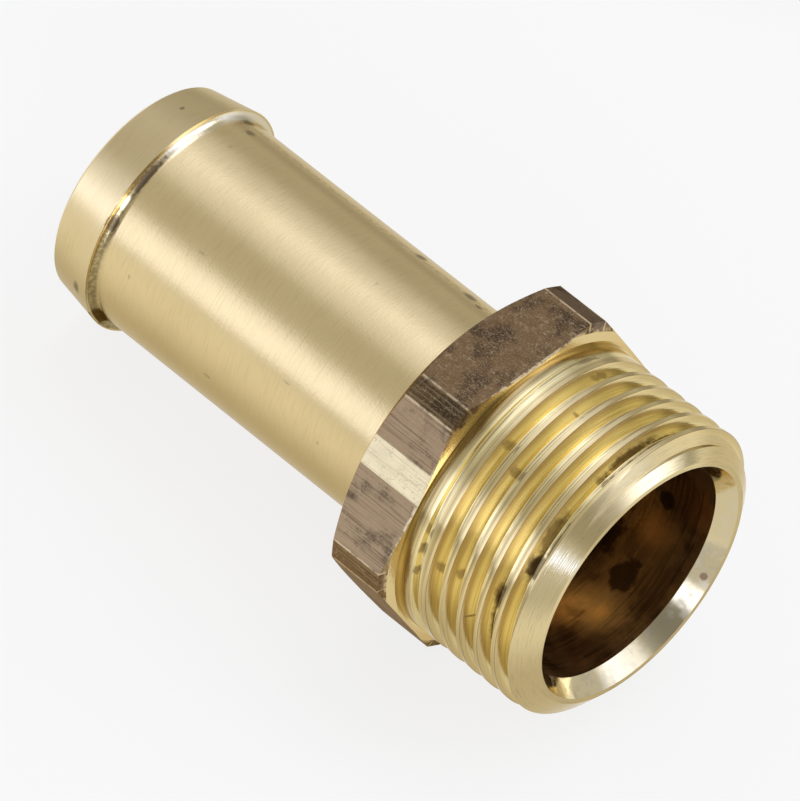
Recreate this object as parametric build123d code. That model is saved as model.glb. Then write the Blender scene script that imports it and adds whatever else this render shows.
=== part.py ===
from build123d import *
import math
import os

# Hose barb tail, one turned brass piece. Sizes are in millimetres and degrees.
# It is built along X, from the thread's end face at x = 0 back to the hose end
# at negative x, and then laid down the way it comes to rest, with +Z up.

# Lengths along the axis
thread_length = 16.2
hex_length = 8.2
tail_length = 44.1
barb_length = 5.7

# Parallel pipe thread, Whitworth form
thread_major_diameter = 33.0
thread_depth = 1.35
thread_pitch = 2.309
thread_angle = 55.0
thread_root_flat = 0.385
thread_start_angle = 213.3
thread_plain_length = 1.0
thread_runout_length = 2.2
lead_chamfer_angle = 56.0
face_diameter = 28.1

# Wrench section: hexagon bar with flattened corners, bevelled at both ends.
# A bevel's angle is measured from the end face it starts at.
hex_across_flats = 34.0
hex_across_corners = 37.8
hose_bevel_angle = 30.0
hose_bevel_diameter = 32.4
thread_bevel_angle = 15.0

# Hose end
shank_diameter = 24.1
barb_diameter = 26.0
barb_end_diameter = 24.0
barb_end_chamfer = 0.35
barb_hollow_length = 0.9

# Stepped bore with a conical seat at the thread end
seat_mouth_diameter = 26.9
seat_angle = 60.0
thread_bore_diameter = 24.66
thread_bore_depth = 18.0
drill_point_angle = 118.0
tail_bore_diameter = 20.4
tail_bore_chamfer = 0.5

# The groove cutter reaches this far outside the crests, and each full turn of
# it is lofted through this many steps.
cutter_clearance = 0.3
steps_per_turn = 12

# Places along the axis that follow from the lengths
hex_front_x = -thread_length
hex_back_x = hex_front_x - hex_length
hose_end_x = hex_back_x - tail_length
barb_ridge_x = hose_end_x + barb_length


def tan(degrees):
    return math.tan(math.radians(degrees))


def turned(points):
    """Solid turned about X from a closed outline of (x, radius) points."""
    return revolve(make_face(Polyline(*points, close=True)), axis=Axis.X)


def thread_blank():
    """Cylinder that the thread is cut in, with the lead chamfer at its mouth."""
    face_r = face_diameter / 2
    major_r = thread_major_diameter / 2
    lead_length = (major_r - face_r) / tan(lead_chamfer_angle)
    return turned([
        (0, 0),
        (0, face_r),
        (-lead_length, major_r),
        (hex_front_x, major_r),
        (hex_front_x, 0),
    ])


def groove_outline(turns, lift):
    """Outline of the thread groove, so many turns behind the end face.

    Two flanks stand on a narrow flat in place of the small rounded root. In the
    run-out the outline is lifted off the axis.
    """
    root_x = thread_root_flat / 2
    root_r = thread_major_diameter / 2 - thread_depth + lift
    height = thread_depth + cutter_clearance
    top_x = root_x + height * tan(thread_angle / 2)
    outline = Polyline(
        (-root_x, root_r),
        (-top_x, root_r + height),
        (top_x, root_r + height),
        (root_x, root_r),
        close=True,
    )
    angle = thread_start_angle - 360 * turns
    return Pos(X=-turns * thread_pitch) * Rot(X=angle) * Wire(outline.edges())


def groove_cutters():
    """The thread groove in one-turn lengths, the last ones rising out of the blank."""
    end_turns = (thread_length - thread_plain_length) / thread_pitch
    runout_turns = thread_runout_length / thread_pitch
    start_turns = -0.5
    count = math.ceil((end_turns - start_turns) * steps_per_turn)
    outlines = []
    for step in range(count + 1):
        turns = start_turns + step / steps_per_turn
        run = max(0, turns - end_turns + runout_turns) / runout_turns
        outlines.append(groove_outline(turns, run * (thread_depth + cutter_clearance)))
    return [
        Solid.make_loft(outlines[first:first + steps_per_turn + 1])
        for first in range(0, count, steps_per_turn)
    ]


def wrench_section():
    """Hexagon bar with flattened corners, bevelled like a turned part at both ends."""
    flat_r = hex_across_flats / 2
    bar = RegularPolygon(flat_r, 6, major_radius=False)
    corner_cut = RegularPolygon(hex_across_corners / 2, 6, major_radius=False, rotation=30)
    back = Plane((hex_back_x, 0, 0), x_dir=(0, 1, 0), z_dir=(1, 0, 0))
    prism = extrude(back * (bar & corner_cut), hex_length)
    back_r = hose_bevel_diameter / 2
    outer_r = hex_across_corners
    envelope = turned([
        (hex_back_x, 0),
        (hex_back_x, back_r),
        (hex_back_x + (outer_r - back_r) * tan(hose_bevel_angle), outer_r),
        (hex_front_x - (outer_r - flat_r) * tan(thread_bevel_angle), outer_r),
        (hex_front_x, flat_r),
        (hex_front_x, 0),
    ])
    return prism & envelope


def hose_tail():
    """Plain shank, and the barb at its end with a hollow behind its sharp ridge."""
    shank_r = shank_diameter / 2
    ridge = (barb_ridge_x, barb_diameter / 2)
    end = (hose_end_x, barb_end_diameter / 2)
    shank = Line((hex_back_x, shank_r), (barb_ridge_x + barb_hollow_length, shank_r))
    hollow = TangentArc(shank @ 1, ridge, tangent=shank % 1)
    rest = Polyline(ridge, end, (hose_end_x, 0), (hex_back_x, 0), shank @ 0)
    tail = revolve(make_face([shank, hollow, rest]), axis=Axis.X)
    rims = tail.edges().filter_by(GeomType.CIRCLE).group_by(Axis.X)[0]
    return chamfer(rims.sort_by(SortBy.RADIUS)[-1], barb_end_chamfer)


def bore():
    """The way through: conical seat, wide bore with a drill point, and tail bore."""
    seat_r = seat_mouth_diameter / 2
    wide_r = thread_bore_diameter / 2
    tail_r = tail_bore_diameter / 2
    return turned([
        (0, 0),
        (0, seat_r),
        (-(seat_r - wide_r) / tan(seat_angle / 2), wide_r),
        (-thread_bore_depth, wide_r),
        (-thread_bore_depth - (wide_r - tail_r) / tan(drill_point_angle / 2), tail_r),
        (hose_end_x + tail_bore_chamfer, tail_r),
        (hose_end_x, tail_r + tail_bore_chamfer),
        (hose_end_x, 0),
    ])


def laid_down(piece):
    """The piece at rest on the hose edge of one wrench flat and the barb's ridge."""
    flat_r = hex_across_flats / 2
    flat_edge_x = hex_back_x + (flat_r - hose_bevel_diameter / 2) * tan(hose_bevel_angle)
    drop = flat_r - barb_diameter / 2
    tilt = math.degrees(math.atan2(drop, flat_edge_x - barb_ridge_x))
    tilted = Rot(Y=-tilt) * piece
    box = tilted.bounding_box()
    return Pos(-box.center().X, -box.center().Y, -box.min.Z) * tilted


def main():
    body = thread_blank() + wrench_section() + hose_tail() - bore()
    for cutter in groove_cutters():
        body = body - cutter
    os.makedirs("parts", exist_ok=True)
    export_step(laid_down(body), "parts/hose_tail.step")


main()
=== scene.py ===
import math

import bpy
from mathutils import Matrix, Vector

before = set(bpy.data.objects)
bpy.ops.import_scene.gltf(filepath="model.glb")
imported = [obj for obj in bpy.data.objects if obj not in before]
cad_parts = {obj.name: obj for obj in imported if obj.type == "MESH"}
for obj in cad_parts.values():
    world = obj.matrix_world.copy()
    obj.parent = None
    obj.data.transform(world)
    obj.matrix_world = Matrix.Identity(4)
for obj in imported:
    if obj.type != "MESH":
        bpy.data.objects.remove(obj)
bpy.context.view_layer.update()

# The part's own axes in the frame, in metres. The bore axis is raised by the
# tilt at which the piece rests. TURN_0 and TURN_90 are the two directions across
# it that the angle "turn" is counted from, so that the picture shows -28 to 152.
TILT = math.radians(5.87668)
AXIS = Vector((math.cos(TILT), 0.0, math.sin(TILT)))
SIDEWAYS = Vector((0.0, 1.0, 0.0))
PART_UP = Vector((-math.sin(TILT), 0.0, math.cos(TILT)))
FACE_CENTRE = Vector((0.033947, 0.0, 0.019362))
TOP_FLAT_TURN = 95.67
TOP = math.radians(TOP_FLAT_TURN)
TURN_0 = math.cos(TOP) * PART_UP - math.sin(TOP) * SIDEWAYS
TURN_90 = math.sin(TOP) * PART_UP + math.cos(TOP) * SIDEWAYS
MM = 1000.0

# Places along the axis in millimetres, 0 at the thread's end face
CHAMFER_BACK = -1.65
SEAT_BACK = -1.94
HEX_FRONT = -16.2
HEX_BACK = -24.4
BARB_RIDGE = -62.8

# Other sizes in millimetres
MAJOR_RADIUS = 16.5
FLAT_RADIUS = 17.0
SHANK_RADIUS = 12.05
THREAD_PITCH = 2.309

# Angles in degrees: the groove's start, and from a flat's middle to the middle
# of the corner and to the flat's own edge
GROOVE_TURN = 27.63
CORNER_MIDDLE = 30.0
FLAT_EDGE = 25.9

# Camera: a long lens, fitted to the object's edges in the photograph
CAMERA_PLACE = (0.413468, -0.589637, 0.920374)
CAMERA_ANGLES = (37.71844, -8.157365, 45.318118)
CAMERA_LENS = 537.7
CAMERA_SENSOR = 36.0

# The studio round the piece: a plain level, and soft panels and darker gaps on it.
# Each is azimuth, elevation, half angle of the full part and of the faded rim, level.
STUDIO_LEVEL = 0.7
PANELS = [
    (-60, 8, 4, 27, 0.65),
    (-32, 8, 4, 27, 0.9),
    (-140, 48, 3, 27, 0.3),
    (-110, 68, 3, 27, 0.5),
    (-170, 68, 3, 27, 1.1),
    (130, 28, 3, 27, 1.7),
    (140, 48, 3, 27, 0.7),
    (120, 8, 3, 27, 0.6),
    (60, 8, 3, 24, 4.6),
    (44, 32, 2, 13, 1.4),
]
GAPS = [
    (-145, 26, 3, 27, 0.12),
    (0, 8, 3, 24, 0.35),
    (100, 34, 3, 24, 0.5),
    (40, 62, 8, 34, 0.42),
]
PANEL_TINT = (1.0, 1.12, 1.65, 1.0)

# The floor's half size in metres, its colour, and how much of what is seen of it
# glows by itself. The glow falls off on two sides: azimuth, start, end, loss.
FLOOR_HALF = 6.0
FLOOR_COLOUR = (0.80, 0.755, 0.63, 1.0)
FLOOR_GLOW_SHARE = 0.8
FLOOR_FALLS = [
    (-145, 0.065, 0.13, 0.68),
    (40, 0.06, 0.12, 0.4),
]

# Clean metal
BRASS = (0.78, 0.61, 0.31, 1.0)
BARB_BRASS = (0.76, 0.61, 0.33, 1.0)
THREAD_BRASS = (0.78, 0.62, 0.31, 1.0)
# Painted light: a lighter copy of the thread's brass, for its grooves
LIT_GROOVE_BRASS = (1.0, 0.85, 0.44, 1.0)
CUT_BRASS = (0.76, 0.62, 0.33, 1.0)
CUT_LINE = (0.46, 0.37, 0.20, 1.0)
# Painted highlight: pale brass for a narrow bright place on the lead chamfer
CHAMFER_HIGHLIGHT = (0.94, 0.88, 0.70, 1.0)
SEAT_BRASS = (0.84, 0.72, 0.45, 1.0)
SEAT_SMUDGE = (0.66, 0.57, 0.38, 1.0)
BARE_BRASS = (0.72, 0.60, 0.36, 1.0)
# Painted highlight: pale brass for the upper side of the hollow behind the barb's ridge
HOLLOW_HIGHLIGHT = (0.86, 0.79, 0.60, 1.0)
WORN_CORNER = (0.70, 0.54, 0.32, 1.0)
WORN_FRONT = (0.70, 0.56, 0.31, 1.0)
SCRATCH_GOLD = (0.42, 0.31, 0.17, 1.0)

# Tool lines, patches and dirt
SHANK_PATCH = (0.69, 0.53, 0.26, 1.0)
SHANK_LINE = (0.58, 0.45, 0.22, 1.0)
SHANK_SPOT = (0.20, 0.15, 0.10, 1.0)
SHANK_SMEAR = (0.25, 0.19, 0.12, 1.0)
OLIVE_STAIN = (0.30, 0.23, 0.10, 1.0)
BARB_STAIN = (0.12, 0.08, 0.04, 1.0)
ROOT_LINE = (0.22, 0.14, 0.05, 1.0)
THREAD_LINE = (0.42, 0.30, 0.11, 1.0)
CREST_LINE = (0.20, 0.14, 0.05, 1.0)
THREAD_SPOT = (0.16, 0.10, 0.05, 1.0)
THREAD_STAIN = (0.10, 0.058, 0.024, 1.0)
SEAT_SPOT = (0.25, 0.17, 0.09, 1.0)
FLAT_DIRT = (0.03, 0.02, 0.014, 1.0)
BORE_BROWN = (0.78, 0.55, 0.24, 1.0)
BORE_CLOUD = (0.38, 0.25, 0.11, 1.0)
BORE_LINE = (0.66, 0.43, 0.17, 1.0)
# Painted reflection: warm brass for two light places in the bore
BORE_GLOW = (1.0, 0.62, 0.20, 1.0)
# Painted shade: darker brown deep in the bore
BORE_DEEP_SHADE = (0.20, 0.11, 0.04, 1.0)
BORE_DARK = (0.07, 0.04, 0.025, 1.0)

# What painted shade keeps of the colour, and the tints seen at grazing angles
SHADE_KEEPS = (0.58, 0.54, 0.46)
BRASS_EDGE = (0.94, 0.88, 0.72, 1.0)
STAIN_EDGE = (0.30, 0.22, 0.14, 1.0)
PATINA_EDGE = (0.64, 0.50, 0.34, 1.0)

# Roughness
SEAT_SHINE = 0.1
CUT_SHINE = 0.12
POLISHED = 0.16
SHOULDER_SHINE = 0.2
WORN_SHINE = 0.22
SATIN = 0.25
SMUDGED = 0.26
BORE_SATIN = 0.27
BARB_SATIN = 0.28
SCRATCHED = 0.3
ROOT_MATTE = 0.35
DIRTY = 0.4
PATINA = 0.42
SPOTTED = 0.45

# Surface heights in millimetres
BRUSH_HEIGHT = 0.0045
GRAIN_HEIGHT = 0.0075
THREAD_GRAIN_HEIGHT = 0.001
PATCH_HEIGHT = 0.032
CLOUD_HEIGHT = 0.012
STREAK_HEIGHT = 0.006

# Marks on the turned surfaces: along in mm, turn in degrees, half sizes in each
SHANK_SPOTS = [
    (-38.2, 135.5, 0.7, 4.0), (-31.2, 133.5, 0.9, 4.0), (-29.5, 129.5, 0.5, 2.0),
    (-60.1, 125.2, 0.6, 3.0), (-61.8, 134.6, 0.5, 5.0), (-65.7, 104.9, 0.25, 1.8),
    (-64.5, -3.1, 0.5, 4.5),
]
FAINT_SPOTS = [
    (-58.6, 23.1, 0.18, 1.5), (-59.3, 106.7, 0.2, 1.6), (-52.7, 55.3, 0.5, 0.8),
    (-46.9, 2.8, 0.6, 1.2), (-37.6, 31.5, 0.5, 0.7), (-32.1, 15.0, 0.2, 1.5),
    (-36.9, 95.9, 0.15, 1.2),
]
BARB_STAINS = [
    (-62.5, -21.0, 0.9, 9.0), (-62.4, 67.0, 0.35, 13.0), (-62.5, 40.6, 0.5, 4.5),
]
BARB_GLINTS = [
    (-62.6, 51.8, 0.45, 4.0), (-62.4, 104.0, 0.6, 15.0),
]
THREAD_STAINS = [
    (-2.9, 42.5, 0.55, 4.5), (-2.5, 54.0, 0.28, 9.0), (-4.9, 24.0, 0.35, 5.0),
    (-4.75, 4.0, 0.2, 16.0), (-2.8, 98.0, 0.2, 13.0), (-3.1, 114.0, 0.14, 9.0),
]
THREAD_SPOTS = [
    (-2.9, 81.9, 0.45, 2.0), (-9.55, 64.8, 0.5, 2.6), (-11.8, 71.0, 0.35, 2.4),
    (-11.5, 16.4, 0.35, 2.8), (-9.2, 19.8, 0.3, 2.8), (-14.3, 22.4, 0.4, 3.4),
    (-14.0, 29.4, 0.35, 2.6), (-14.4, 12.4, 0.3, 2.6), (-7.6, 8.2, 0.35, 0.8),
    (-14.5, 117.0, 0.25, 7.0), (-12.0, 121.8, 0.25, 6.0), (-9.8, 97.1, 0.25, 1.2),
]
SEAT_SPOTS = [
    (-0.75, -138.0, 0.45, 2.2),
]
BORE_STAINS = [
    (-7.5, -117.0, 1.5, 9.0), (-7.5, -159.0, 0.9, 4.5), (-13.0, -129.0, 3.0, 12.0),
]
# The two places of painted reflection in the bore
BORE_GLOWS = [
    (-7.0, -143.0, 2.4, 10.0), (-6.5, -97.0, 0.8, 6.0),
]
FAR_FROM_MARKS = 9.0

# Wrench section: the turn at which each flat, corner and band begins, and its
# patina. The tones also hold painted light and shade: each was set to how bright
# that flat or facet looks under this light, and one flat is split into three
# bands, the middle one bright, for facets that the model lacks.
FACETS = [
    (-180.0, (0.190, 0.115, 0.058)),
    (-178.2, (0.100, 0.060, 0.032)),
    (-170.5, (0.190, 0.115, 0.058)),
    (-118.2, (0.100, 0.060, 0.032)),
    (-110.5, (0.200, 0.122, 0.062)),
    (-58.2, (0.100, 0.060, 0.032)),
    (-50.5, (0.205, 0.118, 0.050)),
    (1.8, (0.190, 0.120, 0.064)),
    (9.5, (0.400, 0.282, 0.158)),
    (34.0, (0.960, 0.820, 0.500)),
    (46.0, (0.380, 0.262, 0.148)),
    (61.8, (0.180, 0.115, 0.053)),
    (69.5, (0.180, 0.106, 0.046)),
    (121.8, (0.200, 0.150, 0.115)),
    (129.5, (0.190, 0.115, 0.058)),
]
BRIGHT_BAND = (34.0, 46.0)

# ShaderNodeMix has a set of sockets for each kind: the two inputs, and the output
MIX_SOCKETS = {"FLOAT": (2, 3, 0), "RGBA": (6, 7, 2)}


def add_camera():
    """Long lens at the photograph's viewing angle."""
    data = bpy.data.cameras.new("camera")
    data.sensor_fit = "HORIZONTAL"
    data.sensor_width = CAMERA_SENSOR
    data.lens = CAMERA_LENS
    data.clip_start = 0.05
    data.clip_end = 20.0
    camera = bpy.data.objects.new("camera", data)
    camera.location = CAMERA_PLACE
    camera.rotation_euler = [math.radians(angle) for angle in CAMERA_ANGLES]
    bpy.context.scene.collection.objects.link(camera)
    bpy.context.scene.camera = camera


class Nodes:
    """Short calls for building one node tree."""

    def __init__(self, tree):
        self.tree = tree
        tree.nodes.clear()

    def new(self, kind, **settings):
        node = self.tree.nodes.new(kind)
        for name, value in settings.items():
            setattr(node, name, value)
        return node

    def put(self, socket, value):
        """Links a socket to a node's output, or writes a plain value on it."""
        if isinstance(value, bpy.types.NodeSocket):
            self.tree.links.new(value, socket)
        else:
            socket.default_value = value

    def math(self, operation, *values):
        node = self.new("ShaderNodeMath", operation=operation)
        for socket, value in zip(node.inputs, values):
            self.put(socket, value)
        return node.outputs[0]

    def times(self, first, *others):
        for other in others:
            first = self.math("MULTIPLY", first, other)
        return first

    def minus(self, a, b):
        return self.math("SUBTRACT", a, b)

    def vector(self, operation, *values):
        node = self.new("ShaderNodeVectorMath", operation=operation)
        for socket, value in zip(node.inputs, values):
            self.put(socket, value)
        gives_number = operation in ("DOT_PRODUCT", "LENGTH")
        return node.outputs["Value" if gives_number else "Vector"]

    def dot(self, a, b):
        return self.vector("DOT_PRODUCT", a, tuple(b))

    def combine(self, x, y, z):
        node = self.new("ShaderNodeCombineXYZ")
        for socket, value in zip(node.inputs, (x, y, z)):
            self.put(socket, value)
        return node.outputs[0]

    def step(self, value, low, high, start=0.0, end=1.0):
        """Smooth change from start at low to end at high."""
        node = self.new("ShaderNodeMapRange", interpolation_type="SMOOTHSTEP")
        for socket, item in zip(node.inputs, (value, low, high, start, end)):
            self.put(socket, item)
        return node.outputs[0]

    def window(self, value, low, high, soft):
        """1 between low and high, with soft edges centred on both."""
        half = soft / 2
        rise = self.step(value, low - half, low + half)
        return self.times(rise, self.step(value, high + half, high - half))

    def noise(self, vector, scale=1.0, detail=2.0, roughness=0.5, distortion=0.0):
        node = self.new("ShaderNodeTexNoise")
        self.put(node.inputs["Vector"], vector)
        self.put(node.inputs["Scale"], scale)
        self.put(node.inputs["Detail"], detail)
        self.put(node.inputs["Roughness"], roughness)
        self.put(node.inputs["Distortion"], distortion)
        return node.outputs[0]

    def mix(self, factor, a, b):
        """Blend of two colours, or of two numbers where b is a number."""
        kind = "FLOAT" if isinstance(b, float) else "RGBA"
        node = self.new("ShaderNodeMix", data_type=kind)
        first, second, result = MIX_SOCKETS[kind]
        self.put(node.inputs[0], factor)
        self.put(node.inputs[first], a)
        self.put(node.inputs[second], b)
        return node.outputs[result]

    def surface(self, output_kind, shader):
        self.put(self.new(output_kind).inputs["Surface"], shader)


def direction(azimuth, elevation=0):
    """Unit vector towards a light, azimuth 0 towards -Y and 90 towards +X."""
    a, e = math.radians(azimuth), math.radians(elevation)
    return Vector((math.sin(a) * math.cos(e), -math.cos(a) * math.cos(e), math.sin(e)))


def build_world():
    """Plain studio with soft panels, a little cooler than the rest."""
    world = bpy.data.worlds.new("studio")
    bpy.context.scene.world = world
    world.use_nodes = True
    n = Nodes(world.node_tree)
    ray = n.vector("NORMALIZE", n.new("ShaderNodeTexCoord").outputs["Generated"])

    def total(patches):
        """Sum of the patches' levels in the direction of the ray."""
        levels = 0.0
        for azimuth, elevation, inner, outer, level in patches:
            toward = n.dot(ray, direction(azimuth, elevation))
            rim, full = math.cos(math.radians(outer)), math.cos(math.radians(inner))
            levels = n.math("MULTIPLY_ADD", n.step(toward, rim, full), level, levels)
        return levels

    room = n.new("ShaderNodeBackground")
    n.put(room.inputs["Strength"], n.minus(STUDIO_LEVEL, total(GAPS)))
    panels = n.new("ShaderNodeBackground")
    n.put(panels.inputs["Color"], PANEL_TINT)
    n.put(panels.inputs["Strength"], total(PANELS))
    both = n.new("ShaderNodeAddShader")
    n.put(both.inputs[0], room.outputs[0])
    n.put(both.inputs[1], panels.outputs[0])
    n.surface("ShaderNodeOutputWorld", both.outputs[0])


def build_floor():
    """Large pale floor, near white round the piece and falling off beyond it."""
    mesh = bpy.data.meshes.new("floor")
    far = FLOOR_HALF
    corners = [(-far, -far, 0), (far, -far, 0), (far, far, 0), (-far, far, 0)]
    mesh.from_pydata(corners, [], [(0, 1, 2, 3)])
    floor = bpy.data.objects.new("floor", mesh)
    bpy.context.scene.collection.objects.link(floor)
    material = bpy.data.materials.new("floor")
    material.use_nodes = True
    n = Nodes(material.node_tree)
    place = n.new("ShaderNodeTexCoord").outputs["Object"]
    level = 1.0
    for azimuth, start, end, loss in FLOOR_FALLS:
        beyond = n.step(n.dot(place, direction(azimuth)), start, end)
        level = n.minus(level, n.times(beyond, loss))
    diffuse = n.new("ShaderNodeBsdfDiffuse")
    n.put(diffuse.inputs["Color"], FLOOR_COLOUR)
    glow = n.new("ShaderNodeEmission")
    n.put(glow.inputs["Strength"], level)
    path = n.new("ShaderNodeLightPath").outputs
    seen = n.math("MAXIMUM", path["Is Camera Ray"], path["Is Glossy Ray"])
    seen = n.math("MAXIMUM", seen, path["Is Transmission Ray"])
    mix = n.new("ShaderNodeMixShader")
    n.put(mix.inputs[0], n.times(seen, FLOOR_GLOW_SHARE))
    n.put(mix.inputs[1], diffuse.outputs[0])
    n.put(mix.inputs[2], glow.outputs[0])
    n.surface("ShaderNodeOutputMaterial", mix.outputs[0])
    mesh.materials.append(material)


class Brass(Nodes):
    """The part's material: its own coordinates, and layers painted one by one."""

    def __init__(self, tree):
        super().__init__(tree)
        place = self.new("ShaderNodeTexCoord").outputs
        from_face = self.vector("SUBTRACT", place["Object"], tuple(FACE_CENTRE))
        self.along = self.dot(from_face, AXIS * MM)
        across_0 = self.dot(from_face, TURN_0 * MM)
        across_90 = self.dot(from_face, TURN_90 * MM)
        squares = self.times(across_0, across_0)
        squares = self.math("MULTIPLY_ADD", across_90, across_90, squares)
        self.radius = self.math("SQRT", squares)
        self.turn = self.math("DEGREES", self.math("ARCTAN2", across_90, across_0))
        self.place = self.combine(self.along, across_0, across_90)
        self.radial = self.vector("NORMALIZE", self.combine(0.0, across_0, across_90))

        normal = place["Normal"]
        self.facing_along = self.dot(normal, AXIS)
        part_normal = self.combine(
            self.facing_along, self.dot(normal, TURN_0), self.dot(normal, TURN_90))
        self.facing_out = self.vector("DOT_PRODUCT", part_normal, self.radial)

        self.colour = BRASS
        self.edge_tint = BRASS_EDGE
        self.roughness = SATIN
        self.height = 0.0

    def over(self, mask, colour, roughness=None, edge_tint=None):
        """Paints a layer over what is there so far."""
        self.colour = self.mix(mask, self.colour, colour)
        if roughness is not None:
            self.roughness = self.mix(mask, self.roughness, roughness)
        if edge_tint is not None:
            self.edge_tint = self.mix(mask, self.edge_tint, edge_tint)

    def painted_shade(self, mask):
        """Painted shade: darkens what is there so far, marks and all."""
        self.over(mask, self.vector("MULTIPLY", self.colour, SHADE_KEEPS))

    def raise_by(self, shape, height):
        """Adds a shape to the surface, so many millimetres high."""
        self.height = self.math("MULTIPLY_ADD", shape, height, self.height)

    def lines_round(self, fineness, length, detail=3.0):
        """Noise drawn out round the axis, the way a turning tool leaves it."""
        across = self.times(self.minus(self.along, self.radius), fineness)
        round_axis = self.vector("MULTIPLY", self.radial, (0.0, length, length))
        lines = self.vector("ADD", round_axis, self.combine(across, 0.0, 0.0))
        return self.noise(lines, detail=detail)

    def stretched(self, along, across_0, across_90, **settings):
        """Noise at a scale of its own in each of the part's directions."""
        lines = self.vector("MULTIPLY", self.place, (along, across_0, across_90))
        return self.noise(lines, **settings)

    def nearest(self, marks):
        """Distance to the nearest mark, 1 at its rim."""
        here = self.combine(self.along, self.turn, 0.0)
        nearest = FAR_FROM_MARKS
        for along, turn, half_along, half_turn in marks:
            size = (1 / half_along, 1 / half_turn, 0.0)
            centre = (-along / half_along, -turn / half_turn, 0.0)
            offset = self.vector("MULTIPLY_ADD", here, size, centre)
            nearest = self.math("MINIMUM", self.vector("LENGTH", offset), nearest)
        return nearest

    def torn(self, marks, noise, amount):
        """Distance to the nearest mark, with rims that a noise makes ragged."""
        shift = self.math("MULTIPLY_ADD", noise, amount, -amount / 2)
        return self.math("ADD", self.nearest(marks), shift)


def paint_turned(n):
    """Satin brass with fine tool lines round it, on all that was turned."""
    patches = n.noise(n.place, scale=0.16, detail=3.0)
    brush = n.lines_round(6.5, 6.0)
    grain = n.noise(n.place, scale=3.5, detail=2.0)
    n.over(n.step(n.along, BARB_RIDGE + 0.1, BARB_RIDGE - 0.1), BARB_BRASS, BARB_SATIN)
    n.over(n.step(patches, 0.35, 0.7, 0.0, 0.3), SHANK_PATCH)
    n.over(n.step(brush, 0.45, 0.72, 0.0, 0.25), SHANK_LINE)
    n.raise_by(brush, BRUSH_HEIGHT)
    n.raise_by(grain, n.step(n.along, HEX_FRONT - 0.2, HEX_FRONT + 0.2,
                             GRAIN_HEIGHT, THREAD_GRAIN_HEIGHT))
    n.raise_by(patches, PATCH_HEIGHT)


def paint_barb(n):
    """Dirt and bare places in the hollow behind the ridge, a painted highlight on the
    hollow's upper side, and spots on the shank.
    """
    ragged = n.noise(n.place, scale=2.2, detail=3.0)
    in_hollow = n.times(
        n.window(n.along, BARB_RIDGE - 0.06, BARB_RIDGE + 0.95, 0.12),
        n.step(n.radius, SHANK_RADIUS - 0.05, SHANK_RADIUS + 0.15))
    patchy = n.step(ragged, 0.3, 0.6, 0.5, 1.0)
    n.over(n.times(in_hollow, n.step(n.turn, 72.0, 58.0), patchy), OLIVE_STAIN)
    # Painted highlight: pale brass on the hollow's upper side
    n.over(n.times(in_hollow, n.step(n.turn, 76.0, 88.0)), HOLLOW_HIGHLIGHT, SCRATCHED)
    stained = n.step(n.torn(BARB_STAINS, ragged, 1.2), 1.1, 0.6, 0.0, 0.85)
    n.over(stained, BARB_STAIN, DIRTY, STAIN_EDGE)
    n.over(n.step(n.nearest(BARB_GLINTS), 1.1, 0.6), BARE_BRASS, POLISHED)

    on_shank = n.times(
        n.window(n.along, -62.0, HEX_BACK, 3.0), n.step(n.facing_out, 0.9, 0.95))
    smear = n.times(n.window(n.turn, 131.0, 135.0, 4.0), n.step(ragged, 0.36, 0.60))
    n.over(n.times(on_shank, smear, 0.32), SHANK_SMEAR, DIRTY)
    for spots, strength in ((SHANK_SPOTS, 0.75), (FAINT_SPOTS, 0.3)):
        spot = n.step(n.torn(spots, ragged, 0.8), 1.2, 0.4, 0.0, strength)
        n.over(spot, SHANK_SPOT, SPOTTED)


def paint_thread(n):
    """Gold thread with a high polish and fine lines on it, stains, dark lines along the
    roots, a lighter copy of the brass in the grooves as painted light, and painted shade on
    some flanks and next to the hexagon.
    """
    on_thread = n.times(
        n.window(n.along, HEX_FRONT, CHAMFER_BACK, 0.05), n.step(n.facing_out, 0.0, 0.2))
    n.over(on_thread, THREAD_BRASS, POLISHED)

    # The phase is 0 at a groove's centre and 0.5 at a crest. The flanks before
    # 0.5 face the hose end.
    turns = n.math("MULTIPLY_ADD", n.turn, 1 / 360, GROOVE_TURN / 360)
    phase = n.math("FRACT", n.math("MULTIPLY_ADD", n.along, 1 / THREAD_PITCH, turns))
    from_groove = n.math("PINGPONG", phase, 0.5)
    # Painted light: the grooves get a lighter copy of the thread's brass
    n.over(n.times(on_thread, n.step(from_groove, 0.34, 0.2)), LIT_GROOVE_BRASS)
    # Painted shade on the flanks that face the hose end, between turns 15 and 58
    to_hose_end = n.times(n.step(phase, 0.03, 0.06), n.step(phase, 0.5, 0.47))
    n.painted_shade(n.times(on_thread, to_hose_end, n.window(n.turn, 15.0, 58.0, 20.0), 0.75))

    streaks = n.lines_round(0.6, 2.5)
    # A dark streaky line along the roots of the thread
    root = n.times(n.step(from_groove, 0.07, 0.035), n.step(streaks, 0.36, 0.6), 0.6)
    n.over(n.times(on_thread, root), ROOT_LINE, ROOT_MATTE)
    fine = n.lines_round(7.0, 1.5)
    n.over(n.times(on_thread, n.step(fine, 0.54, 0.60, 0.0, 0.3)), THREAD_LINE)
    crest = n.times(n.window(from_groove, 0.382, 0.398, 0.016), n.step(streaks, 0.34, 0.48))
    n.over(n.times(on_thread, crest, 0.9), CREST_LINE)
    # Painted shade in streaks on the thread next to the hexagon
    neck = n.step(n.along, HEX_FRONT + 1.5, HEX_FRONT + 0.5)
    n.painted_shade(n.times(on_thread, neck, n.step(streaks, 0.3, 0.6, 0.5, 1.0)))

    ragged = n.noise(n.place, scale=1.3, detail=5.0, roughness=0.65)
    stain = n.step(n.torn(THREAD_STAINS, ragged, 2.0), 1.6, 0.7, 0.0, 0.95)
    stain = n.times(stain, n.step(streaks, 0.34, 0.56, 0.75, 1.0))
    n.over(n.times(on_thread, stain), THREAD_STAIN, DIRTY)
    spot = n.step(n.torn(THREAD_SPOTS, ragged, 2.0), 1.1, 0.5, 0.0, 0.6)
    n.over(n.times(on_thread, spot), THREAD_SPOT, DIRTY)


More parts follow.
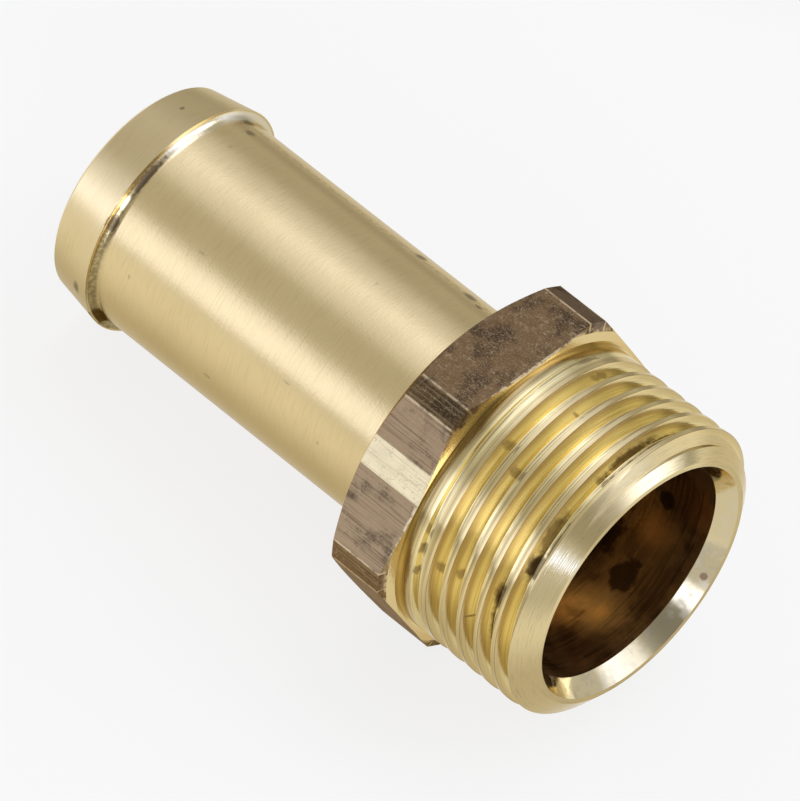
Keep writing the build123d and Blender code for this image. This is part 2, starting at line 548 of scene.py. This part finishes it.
def paint_mouth(n):
    """Lead chamfer and face with fine turning lines and a painted highlight, and the seat,
    which has a high polish and painted shade on part of it.
    """
    outside = n.times(
        n.step(n.along, CHAMFER_BACK - 0.03, CHAMFER_BACK + 0.03),
        n.step(n.facing_out, -0.2, 0.0))
    n.over(outside, CUT_BRASS, CUT_SHINE)
    n.over(n.step(n.facing_along, 0.97, 0.99), CUT_BRASS, SATIN)

    inside = n.times(
        n.step(n.along, SEAT_BACK - 0.03, SEAT_BACK + 0.03),
        n.step(n.facing_out, -0.1, -0.3))
    n.over(inside, SEAT_BRASS, SEAT_SHINE)
    # Painted shade on the seat beyond about 150 degrees of turn either way
    n.painted_shade(n.times(inside, n.step(n.math("ABSOLUTE", n.turn), 148.0, 160.0, 0.0, 0.55)))
    smudge = n.noise(n.place, scale=0.9, detail=4.0)
    n.over(n.times(inside, n.step(smudge, 0.45, 0.7)), SEAT_SMUDGE, SMUDGED)
    n.over(n.times(inside, n.step(n.nearest(SEAT_SPOTS), 1.1, 0.6)), SEAT_SPOT, DIRTY)

    # Painted highlight on the lead chamfer between turns 47 and 53
    highlight = n.times(outside, n.window(n.turn, 47.0, 53.0, 6.0), 0.6)
    n.over(highlight, CHAMFER_HIGHLIGHT, CUT_SHINE)
    scratches = n.step(n.lines_round(9.0, 6.0), 0.54, 0.66, 0.0, 0.45)
    n.over(n.times(outside, scratches), CUT_LINE, SCRATCHED)


def paint_side_shade(n):
    """Painted shade: both sides of the turned surfaces, low down, are darker than the top,
    and so is a stretch of the lead chamfer.
    """
    outside = n.times(
        n.step(n.facing_out, -0.2, 0.0),
        n.step(n.radius, FLAT_RADIUS, MAJOR_RADIUS + 0.1))
    # Painted shade, low down on both sides of the shank, barb and thread
    left = n.times(
        n.step(n.turn, 24.0, -6.0, 0.0, 0.8), n.step(n.turn, -170.0, -130.0, 0.75, 1.0))
    n.painted_shade(n.times(outside, left))
    n.painted_shade(n.times(outside, n.step(n.turn, 120.0, 136.0, 0.0, 0.6)))
    # Painted shade on part of the lead chamfer, between turns 57 and 80
    on_chamfer = n.times(
        outside, n.step(n.along, CHAMFER_BACK - 0.1, CHAMFER_BACK + 0.1))
    n.painted_shade(n.times(on_chamfer, n.window(n.turn, 57.0, 80.0, 10.0), 0.6))


def facet_colours(n):
    """The patina's plain colour on each flat, corner and band, with the painted light and
    shade that the table's tones hold.
    """
    node = n.new("ShaderNodeValToRGB")
    ramp = node.color_ramp
    ramp.interpolation = "CONSTANT"
    while len(ramp.elements) < len(FACETS):
        ramp.elements.new(1.0)
    for element, (turn, colour) in zip(ramp.elements, FACETS):
        element.position = (turn + 180) / 360
        element.color = (*colour, 1.0)
    n.put(node.inputs[0], n.math("MULTIPLY_ADD", n.turn, 1 / 360, 0.5))
    return node.outputs[0]


def paint_flats(n):
    """Dark patina on the wrench section, with painted light and shade in the flats' tones,
    streaks, scratches and worn edges.
    """
    on_hex = n.times(
        n.window(n.along, HEX_BACK - 0.1, HEX_FRONT + 0.01, 0.02),
        n.step(n.radius, MAJOR_RADIUS + 0.1, MAJOR_RADIUS + 0.25))
    cloudy = n.noise(n.place, scale=0.3, detail=5.0, roughness=0.6)
    grain = n.noise(n.place, scale=6.0, detail=3.0, roughness=0.7)
    streaks = n.stretched(0.1, 4.5, 4.5, detail=4.0)
    patina = facet_colours(n)
    dark = n.mix(0.7, patina, FLAT_DIRT)
    light = n.mix(0.5, patina, SCRATCH_GOLD)
    # The bright band, part of the painted light in the flats' tones, is kept mostly clear
    # of the clouds, grain and dark streaks
    bright_band = n.window(n.turn, *BRIGHT_BAND, 0.3)
    beside_band = n.math("MULTIPLY_ADD", bright_band, -0.85, 1.0)
    striped = n.step(n.turn, 70.0, 68.5, 0.15, 1.0)
    for mask, shade in (
        (n.times(beside_band, n.step(cloudy, 0.46, 0.64)), dark),
        (n.times(beside_band, n.step(grain, 0.48, 0.70, 0.0, 0.9)), light),
        (n.times(striped, n.step(streaks, 0.50, 0.62, 0.0, 0.6)), light),
        (n.times(striped, beside_band, n.step(streaks, 0.50, 0.36, 0.0, 0.6)), dark),
    ):
        patina = n.mix(mask, patina, shade)
    n.over(on_hex, patina, PATINA, PATINA_EDGE)

    worn = n.noise(n.place, scale=1.1, detail=4.0, roughness=0.6)
    for stretch in ((0.5, 2.6, 0.8), (2.4, 0.7, 1.0)):
        strokes = n.stretched(*stretch, detail=3.0, distortion=0.4)
        line = n.step(n.math("ABSOLUTE", n.minus(strokes, 0.5)), 0.012, 0.004)
        scratch = n.times(on_hex, line, n.step(worn, 0.48, 0.58, 0.0, 0.8))
        n.over(scratch, SCRATCH_GOLD, SCRATCHED)

    from_flat = n.math("PINGPONG", n.minus(n.turn, TOP_FLAT_TURN), CORNER_MIDDLE)
    corner = n.window(from_flat, FLAT_EDGE, FLAT_EDGE + 0.6, 0.6)
    corner = n.times(on_hex, corner, n.step(worn, 0.38, 0.52, 0.3, 0.9))
    n.over(corner, WORN_CORNER, WORN_SHINE)
    front = n.window(n.along, HEX_FRONT - 0.32, HEX_FRONT + 0.05, 0.2)
    front = n.times(on_hex, front, n.step(worn, 0.44, 0.54, 0.1, 0.9))
    n.over(front, WORN_FRONT, WORN_SHINE)
    shoulder = n.times(
        n.window(n.along, HEX_FRONT - 0.25, HEX_FRONT + 0.05, 0.02),
        n.step(n.facing_along, 0.9, 0.95))
    n.over(shoulder, THREAD_BRASS, SHOULDER_SHINE)
    n.raise_by(n.times(on_hex, cloudy), CLOUD_HEIGHT)
    n.raise_by(n.times(on_hex, streaks), STREAK_HEIGHT)


def paint_bore(n):
    """Brown oxide inside, with dark round stains, two warm places of painted reflection,
    and painted shade deeper in.
    """
    inside = n.times(
        n.step(n.facing_out, -0.02, -0.1),
        n.step(n.along, SEAT_BACK + 0.02, SEAT_BACK - 0.02))
    clouds = n.noise(n.place, scale=0.2, detail=4.0, roughness=0.6)
    lines = n.lines_round(3.0, 2.0, detail=5.0)
    ragged = n.noise(n.place, scale=0.9, detail=4.0)
    brown = BORE_BROWN
    for mask, shade in (
        (n.step(clouds, 0.42, 0.58), BORE_CLOUD),
        (n.step(lines, 0.50, 0.60, 0.0, 0.6), BORE_LINE),
        (n.step(lines, 0.46, 0.38, 0.0, 0.35), BORE_DARK),
        # Painted reflections: two warm light places
        (n.step(n.nearest(BORE_GLOWS), 1.5, 0.1, 0.0, 0.85), BORE_GLOW),
        (n.step(n.torn(BORE_STAINS, ragged, 1.2), 1.15, 0.8, 0.0, 0.85), BORE_DARK),
        # Painted shade, darker deeper into the bore
        (n.step(n.along, -7.0, -15.0, 0.0, 0.5), BORE_DEEP_SHADE),
    ):
        brown = n.mix(mask, brown, shade)
    n.over(inside, brown, BORE_SATIN)


def build_brass():
    material = bpy.data.materials.new("brass")
    material.use_nodes = True
    n = Brass(material.node_tree)
    paint_turned(n)
    paint_barb(n)
    paint_thread(n)
    paint_mouth(n)
    paint_side_shade(n)
    paint_flats(n)
    paint_bore(n)
    bump = n.new("ShaderNodeBump")
    n.put(bump.inputs["Distance"], 1 / MM)
    n.put(bump.inputs["Height"], n.height)
    metal = n.new("ShaderNodeBsdfPrincipled")
    n.put(metal.inputs["Base Color"], n.colour)
    n.put(metal.inputs["Metallic"], 1.0)
    n.put(metal.inputs["Specular Tint"], n.edge_tint)
    n.put(metal.inputs["Roughness"], n.roughness)
    n.put(metal.inputs["Normal"], bump.outputs[0])
    n.surface("ShaderNodeOutputMaterial", metal.outputs[0])
    return material


add_camera()
build_world()
build_floor()
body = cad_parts["hose_tail"]
body.data.materials.clear()
body.data.materials.append(build_brass())

bpy.context.scene.view_settings.view_transform = "Standard"
